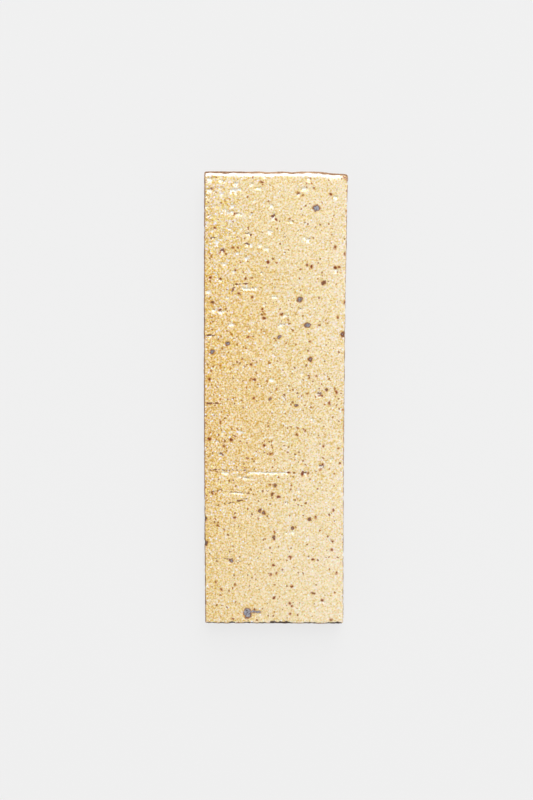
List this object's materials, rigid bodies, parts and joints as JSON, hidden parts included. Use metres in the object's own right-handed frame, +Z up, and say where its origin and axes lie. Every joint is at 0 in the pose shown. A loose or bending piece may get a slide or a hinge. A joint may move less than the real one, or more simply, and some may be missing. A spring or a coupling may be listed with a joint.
{
  "type": "thin brick tile",
  "caption": "Thin brick tile with a speckled straw-coloured glazed face, rounded short ends, wire-cut long sides and a back keyed with dovetail grooves for bonding to a wall.",
  "frame": {"origin": "middle of the back face, which lies on the floor", "axes": "+Z up, out of the glazed face; +Y along the tile's length, towards the end that is uppermost in the picture; +X across its width, to the picture's right"},
  "size_m": [0.0634, 0.203, 0.013],
  "materials": {
    "glazed_clay": "glossy straw-coloured glaze with dark iron specks over a fired brown clay body; sides and back are bare clay"
  },
  "bodies": {
    "root": {"brick_tile": "glazed_clay"}
  },
  "joints": []
}
